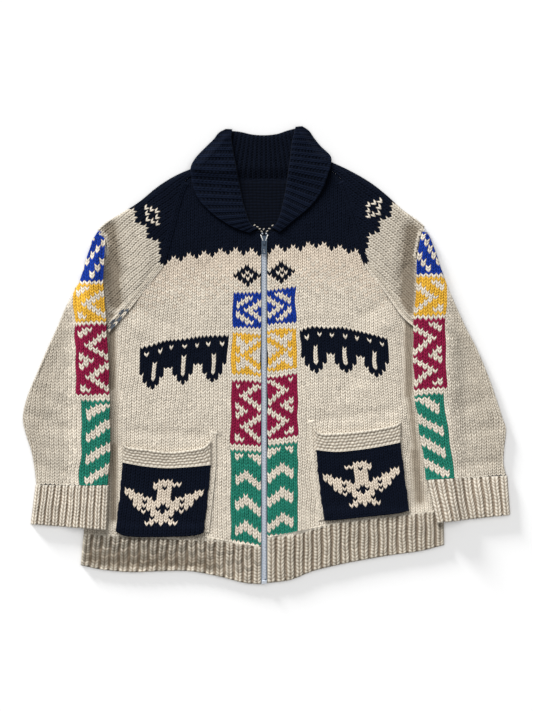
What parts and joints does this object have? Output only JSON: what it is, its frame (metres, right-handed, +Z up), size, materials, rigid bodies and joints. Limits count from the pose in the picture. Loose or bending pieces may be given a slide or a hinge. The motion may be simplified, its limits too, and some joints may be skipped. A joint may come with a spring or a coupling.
{
  "type": "cowichan cardigan",
  "caption": "Thick hand-knitted zip cardigan lying flat, with a folded shawl collar, raglan sleeves, patch pockets and ribbed hem and cuffs.",
  "frame": {"origin": "middle of the garment's outline as it lies, on the surface that it lies on", "axes": "+Z up from the surface, out of the fronts; +Y towards the collar; +X towards the wearer's left sleeve"},
  "size_m": [0.7786, 0.7336, 0.0242],
  "materials": {
    "cream_wool": "matt hand-knitted wool",
    "navy_wool": "matt hand-knitted wool",
    "zip_metal": "satin zip teeth and tape",
    "slider_metal": "satin enamel"
  },
  "bodies": {
    "garment": {"back": "cream_wool", "hem_back": "cream_wool", "front_right": "cream_wool", "front_left": "cream_wool", "hem_right": "cream_wool", "hem_left": "cream_wool", "sleeve_upper_right": "cream_wool", "sleeve_upper_left": "cream_wool", "sleeve_lower_right": "cream_wool", "sleeve_lower_left": "cream_wool", "cuff_right": "cream_wool", "cuff_left": "cream_wool", "collar_back": "navy_wool", "lapel_right": "navy_wool", "lapel_left": "navy_wool", "pocket_right": "navy_wool", "pocket_left": "navy_wool", "pocket_band_right": "cream_wool", "pocket_band_left": "cream_wool", "zip_right": "zip_metal", "zip_left": "zip_metal", "zip_slider": "slider_metal", "zip_stop_right": "zip_metal", "zip_stop_left": "zip_metal", "zip_pin_box": "zip_metal"},
    "pull": {"zip_pull": "slider_metal"}
  },
  "joints": [
    {"name": "pull_hinge", "type": "hinge", "parent": "garment", "child": "pull", "pos_m": [-0.0035, 0.1795, 0.013], "axis": [-1, 0, 0], "range_deg": [0, 160]}
  ]
}
